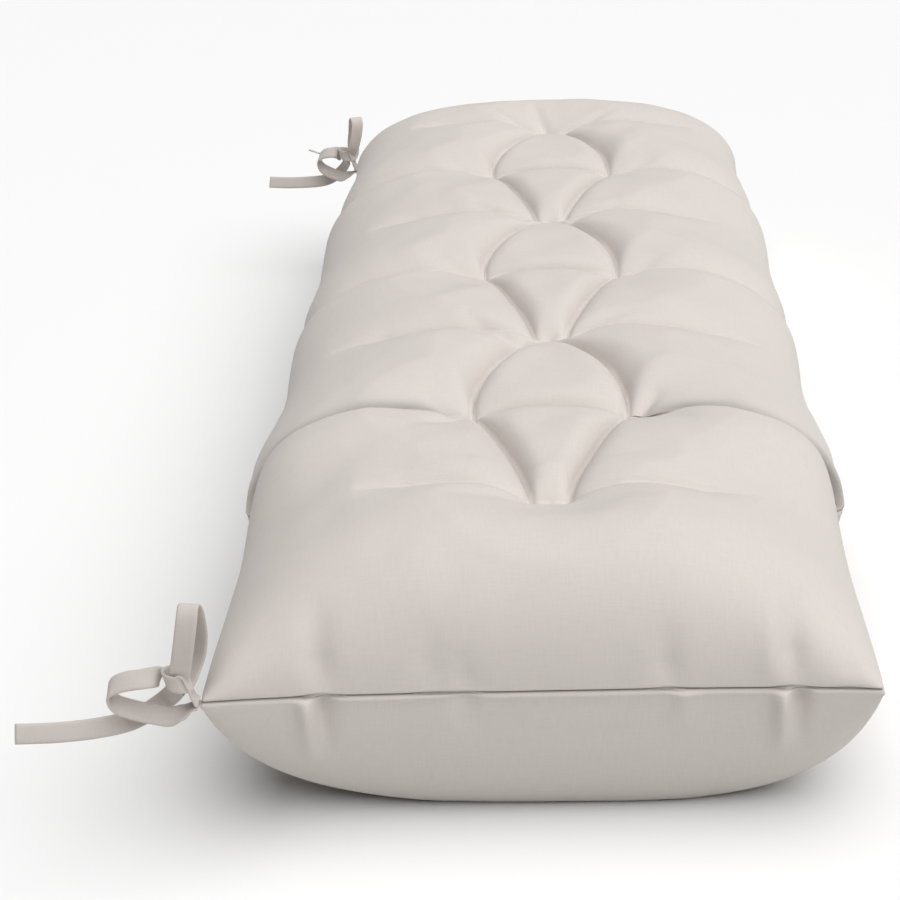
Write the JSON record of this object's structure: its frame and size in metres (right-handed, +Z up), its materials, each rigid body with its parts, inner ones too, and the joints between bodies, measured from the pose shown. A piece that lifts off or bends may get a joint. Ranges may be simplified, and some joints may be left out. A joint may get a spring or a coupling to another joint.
{
  "type": "bench cushion",
  "caption": "Long tufted bench seat cushion in matt canvas, filled and drawn in by rows of tufts, with a bow of cloth tie strips at each back corner.",
  "frame": {"origin": "on the flat face it rests on, under the middle of the seam rectangle", "axes": "+X along the bench, away from the end nearest the camera; +Y towards the back edge, which carries the tie strips; +Z up, out of the tufted face"},
  "size_m": [1.152, 0.5128, 0.1869],
  "materials": {
    "cushion_canvas": "matt",
    "tape_canvas": "matt"
  },
  "bodies": {
    "root": {"cushion": "cushion_canvas", "strip_knotted_near": "tape_canvas", "strip_looped_near": "tape_canvas", "strip_knotted_far": "tape_canvas", "strip_looped_far": "tape_canvas"}
  },
  "joints": []
}
